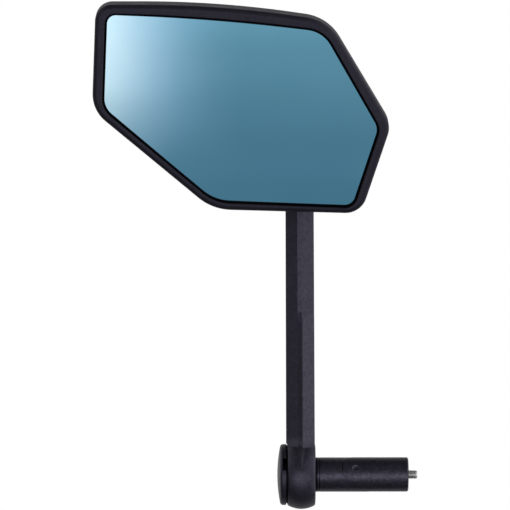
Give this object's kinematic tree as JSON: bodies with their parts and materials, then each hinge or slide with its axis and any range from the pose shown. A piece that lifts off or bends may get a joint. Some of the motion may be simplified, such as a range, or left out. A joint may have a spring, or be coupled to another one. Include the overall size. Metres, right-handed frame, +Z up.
{
  "type": "bicycle mirror",
  "caption": "Left bar-end bicycle mirror: convex blue glass in an angular black head on a ball joint, faceted arm, and expanding handlebar plug.",
  "frame": {"origin": "on the axis of the expanding plug, in the plane where the end of the handlebar meets the arm", "axes": "+X along the plug into the handlebar, +Z up the arm, -Y towards the rider, where the glass faces"},
  "size_m": [0.1729, 0.0799, 0.2705],
  "materials": {
    "plug_plastic": "satin black, finely grained nylon",
    "arm_plastic": "satin black glass-filled nylon",
    "cap_plastic": "satin black nylon",
    "housing_plastic": "matte black, finely textured",
    "bezel_plastic": "matte black, finely textured",
    "carrier_plastic": "plain black moulding",
    "liner_nylon": "natural nylon",
    "foam_rubber": "closed-cell foam",
    "seal_rubber": "matte black sealing rubber",
    "tinted_mirror": "blue anti-dazzle convex mirror glass",
    "zinc_steel": "bright zinc plate",
    "stainless": "stainless, turned thread",
    "stud_steel": "turned and polished steel",
    "spring_steel": "drawn spring wire",
    "bush_brass": "turned brass"
  },
  "bodies": {
    "plug": {"plug_body": "plug_plastic", "clamp_washer": "zinc_steel", "spring_washer": "zinc_steel"},
    "screw": {"clamp_screw": "stainless"},
    "nut": {"wedge_nut": "zinc_steel"},
    "wedge": {"plug_wedge": "plug_plastic"},
    "arm": {"arm": "arm_plastic", "eye_insert": "bush_brass", "friction_ring": "liner_nylon", "stud_cap": "cap_plastic"},
    "cap": {"eye_cap": "cap_plastic"},
    "stud": {"ball_stud": "stud_steel", "stud_washer": "zinc_steel", "stud_nut": "zinc_steel"},
    "liner": {"ball_liner": "liner_nylon"},
    "head": {"housing": "housing_plastic", "bezel": "bezel_plastic", "mirror_glass": "tinted_mirror", "glass_seal": "seal_rubber", "glass_pad": "foam_rubber", "glass_carrier": "carrier_plastic", "ball_clamp": "carrier_plastic", "clamp_springs": "spring_steel", "clamp_screws": "zinc_steel"}
  },
  "joints": [
    {"name": "arm_swing", "type": "hinge", "parent": "plug", "child": "arm", "pos_m": [-0.0038, 0, 0], "axis": [1, 0, 0], "continuous": true},
    {"name": "screw_turn", "type": "hinge", "parent": "plug", "child": "screw", "pos_m": [0.02, 0, 0], "axis": [1, 0, 0], "range_deg": [-120, 960]},
    {"name": "nut_slide", "type": "slide", "parent": "plug", "child": "nut", "axis": [-1, 0, 0], "range_m": [-0.00027, 0.00214]},
    {"name": "wedge_slide", "type": "slide", "parent": "plug", "child": "wedge", "axis": [-0.7314, -0.613, 0.299], "range_m": [-0.00036, 0.00291]},
    {"name": "cap_pull", "type": "slide", "parent": "arm", "child": "cap", "axis": [-1, 0, 0], "range_m": [0, 0.012]},
    {"name": "head_roll", "type": "hinge", "parent": "arm", "child": "stud", "pos_m": [-0.0086, -0.024, 0.185], "axis": [0, 1, 0], "range_deg": [-20, 20]},
    {"name": "head_pan", "type": "hinge", "parent": "stud", "child": "liner", "pos_m": [-0.0086, -0.024, 0.185], "axis": [0, 0, 1], "range_deg": [-15, 15]},
    {"name": "head_tilt", "type": "hinge", "parent": "liner", "child": "head", "pos_m": [-0.0086, -0.024, 0.185], "axis": [1, 0, 0], "range_deg": [-28, 5]}
  ],
  "couplings": [
    {"joint": "screw_turn", "follows": "wedge_slide", "rad_per_m": 5744},
    {"joint": "nut_slide", "follows": "wedge_slide", "ratio": 0.73135}
  ]
}
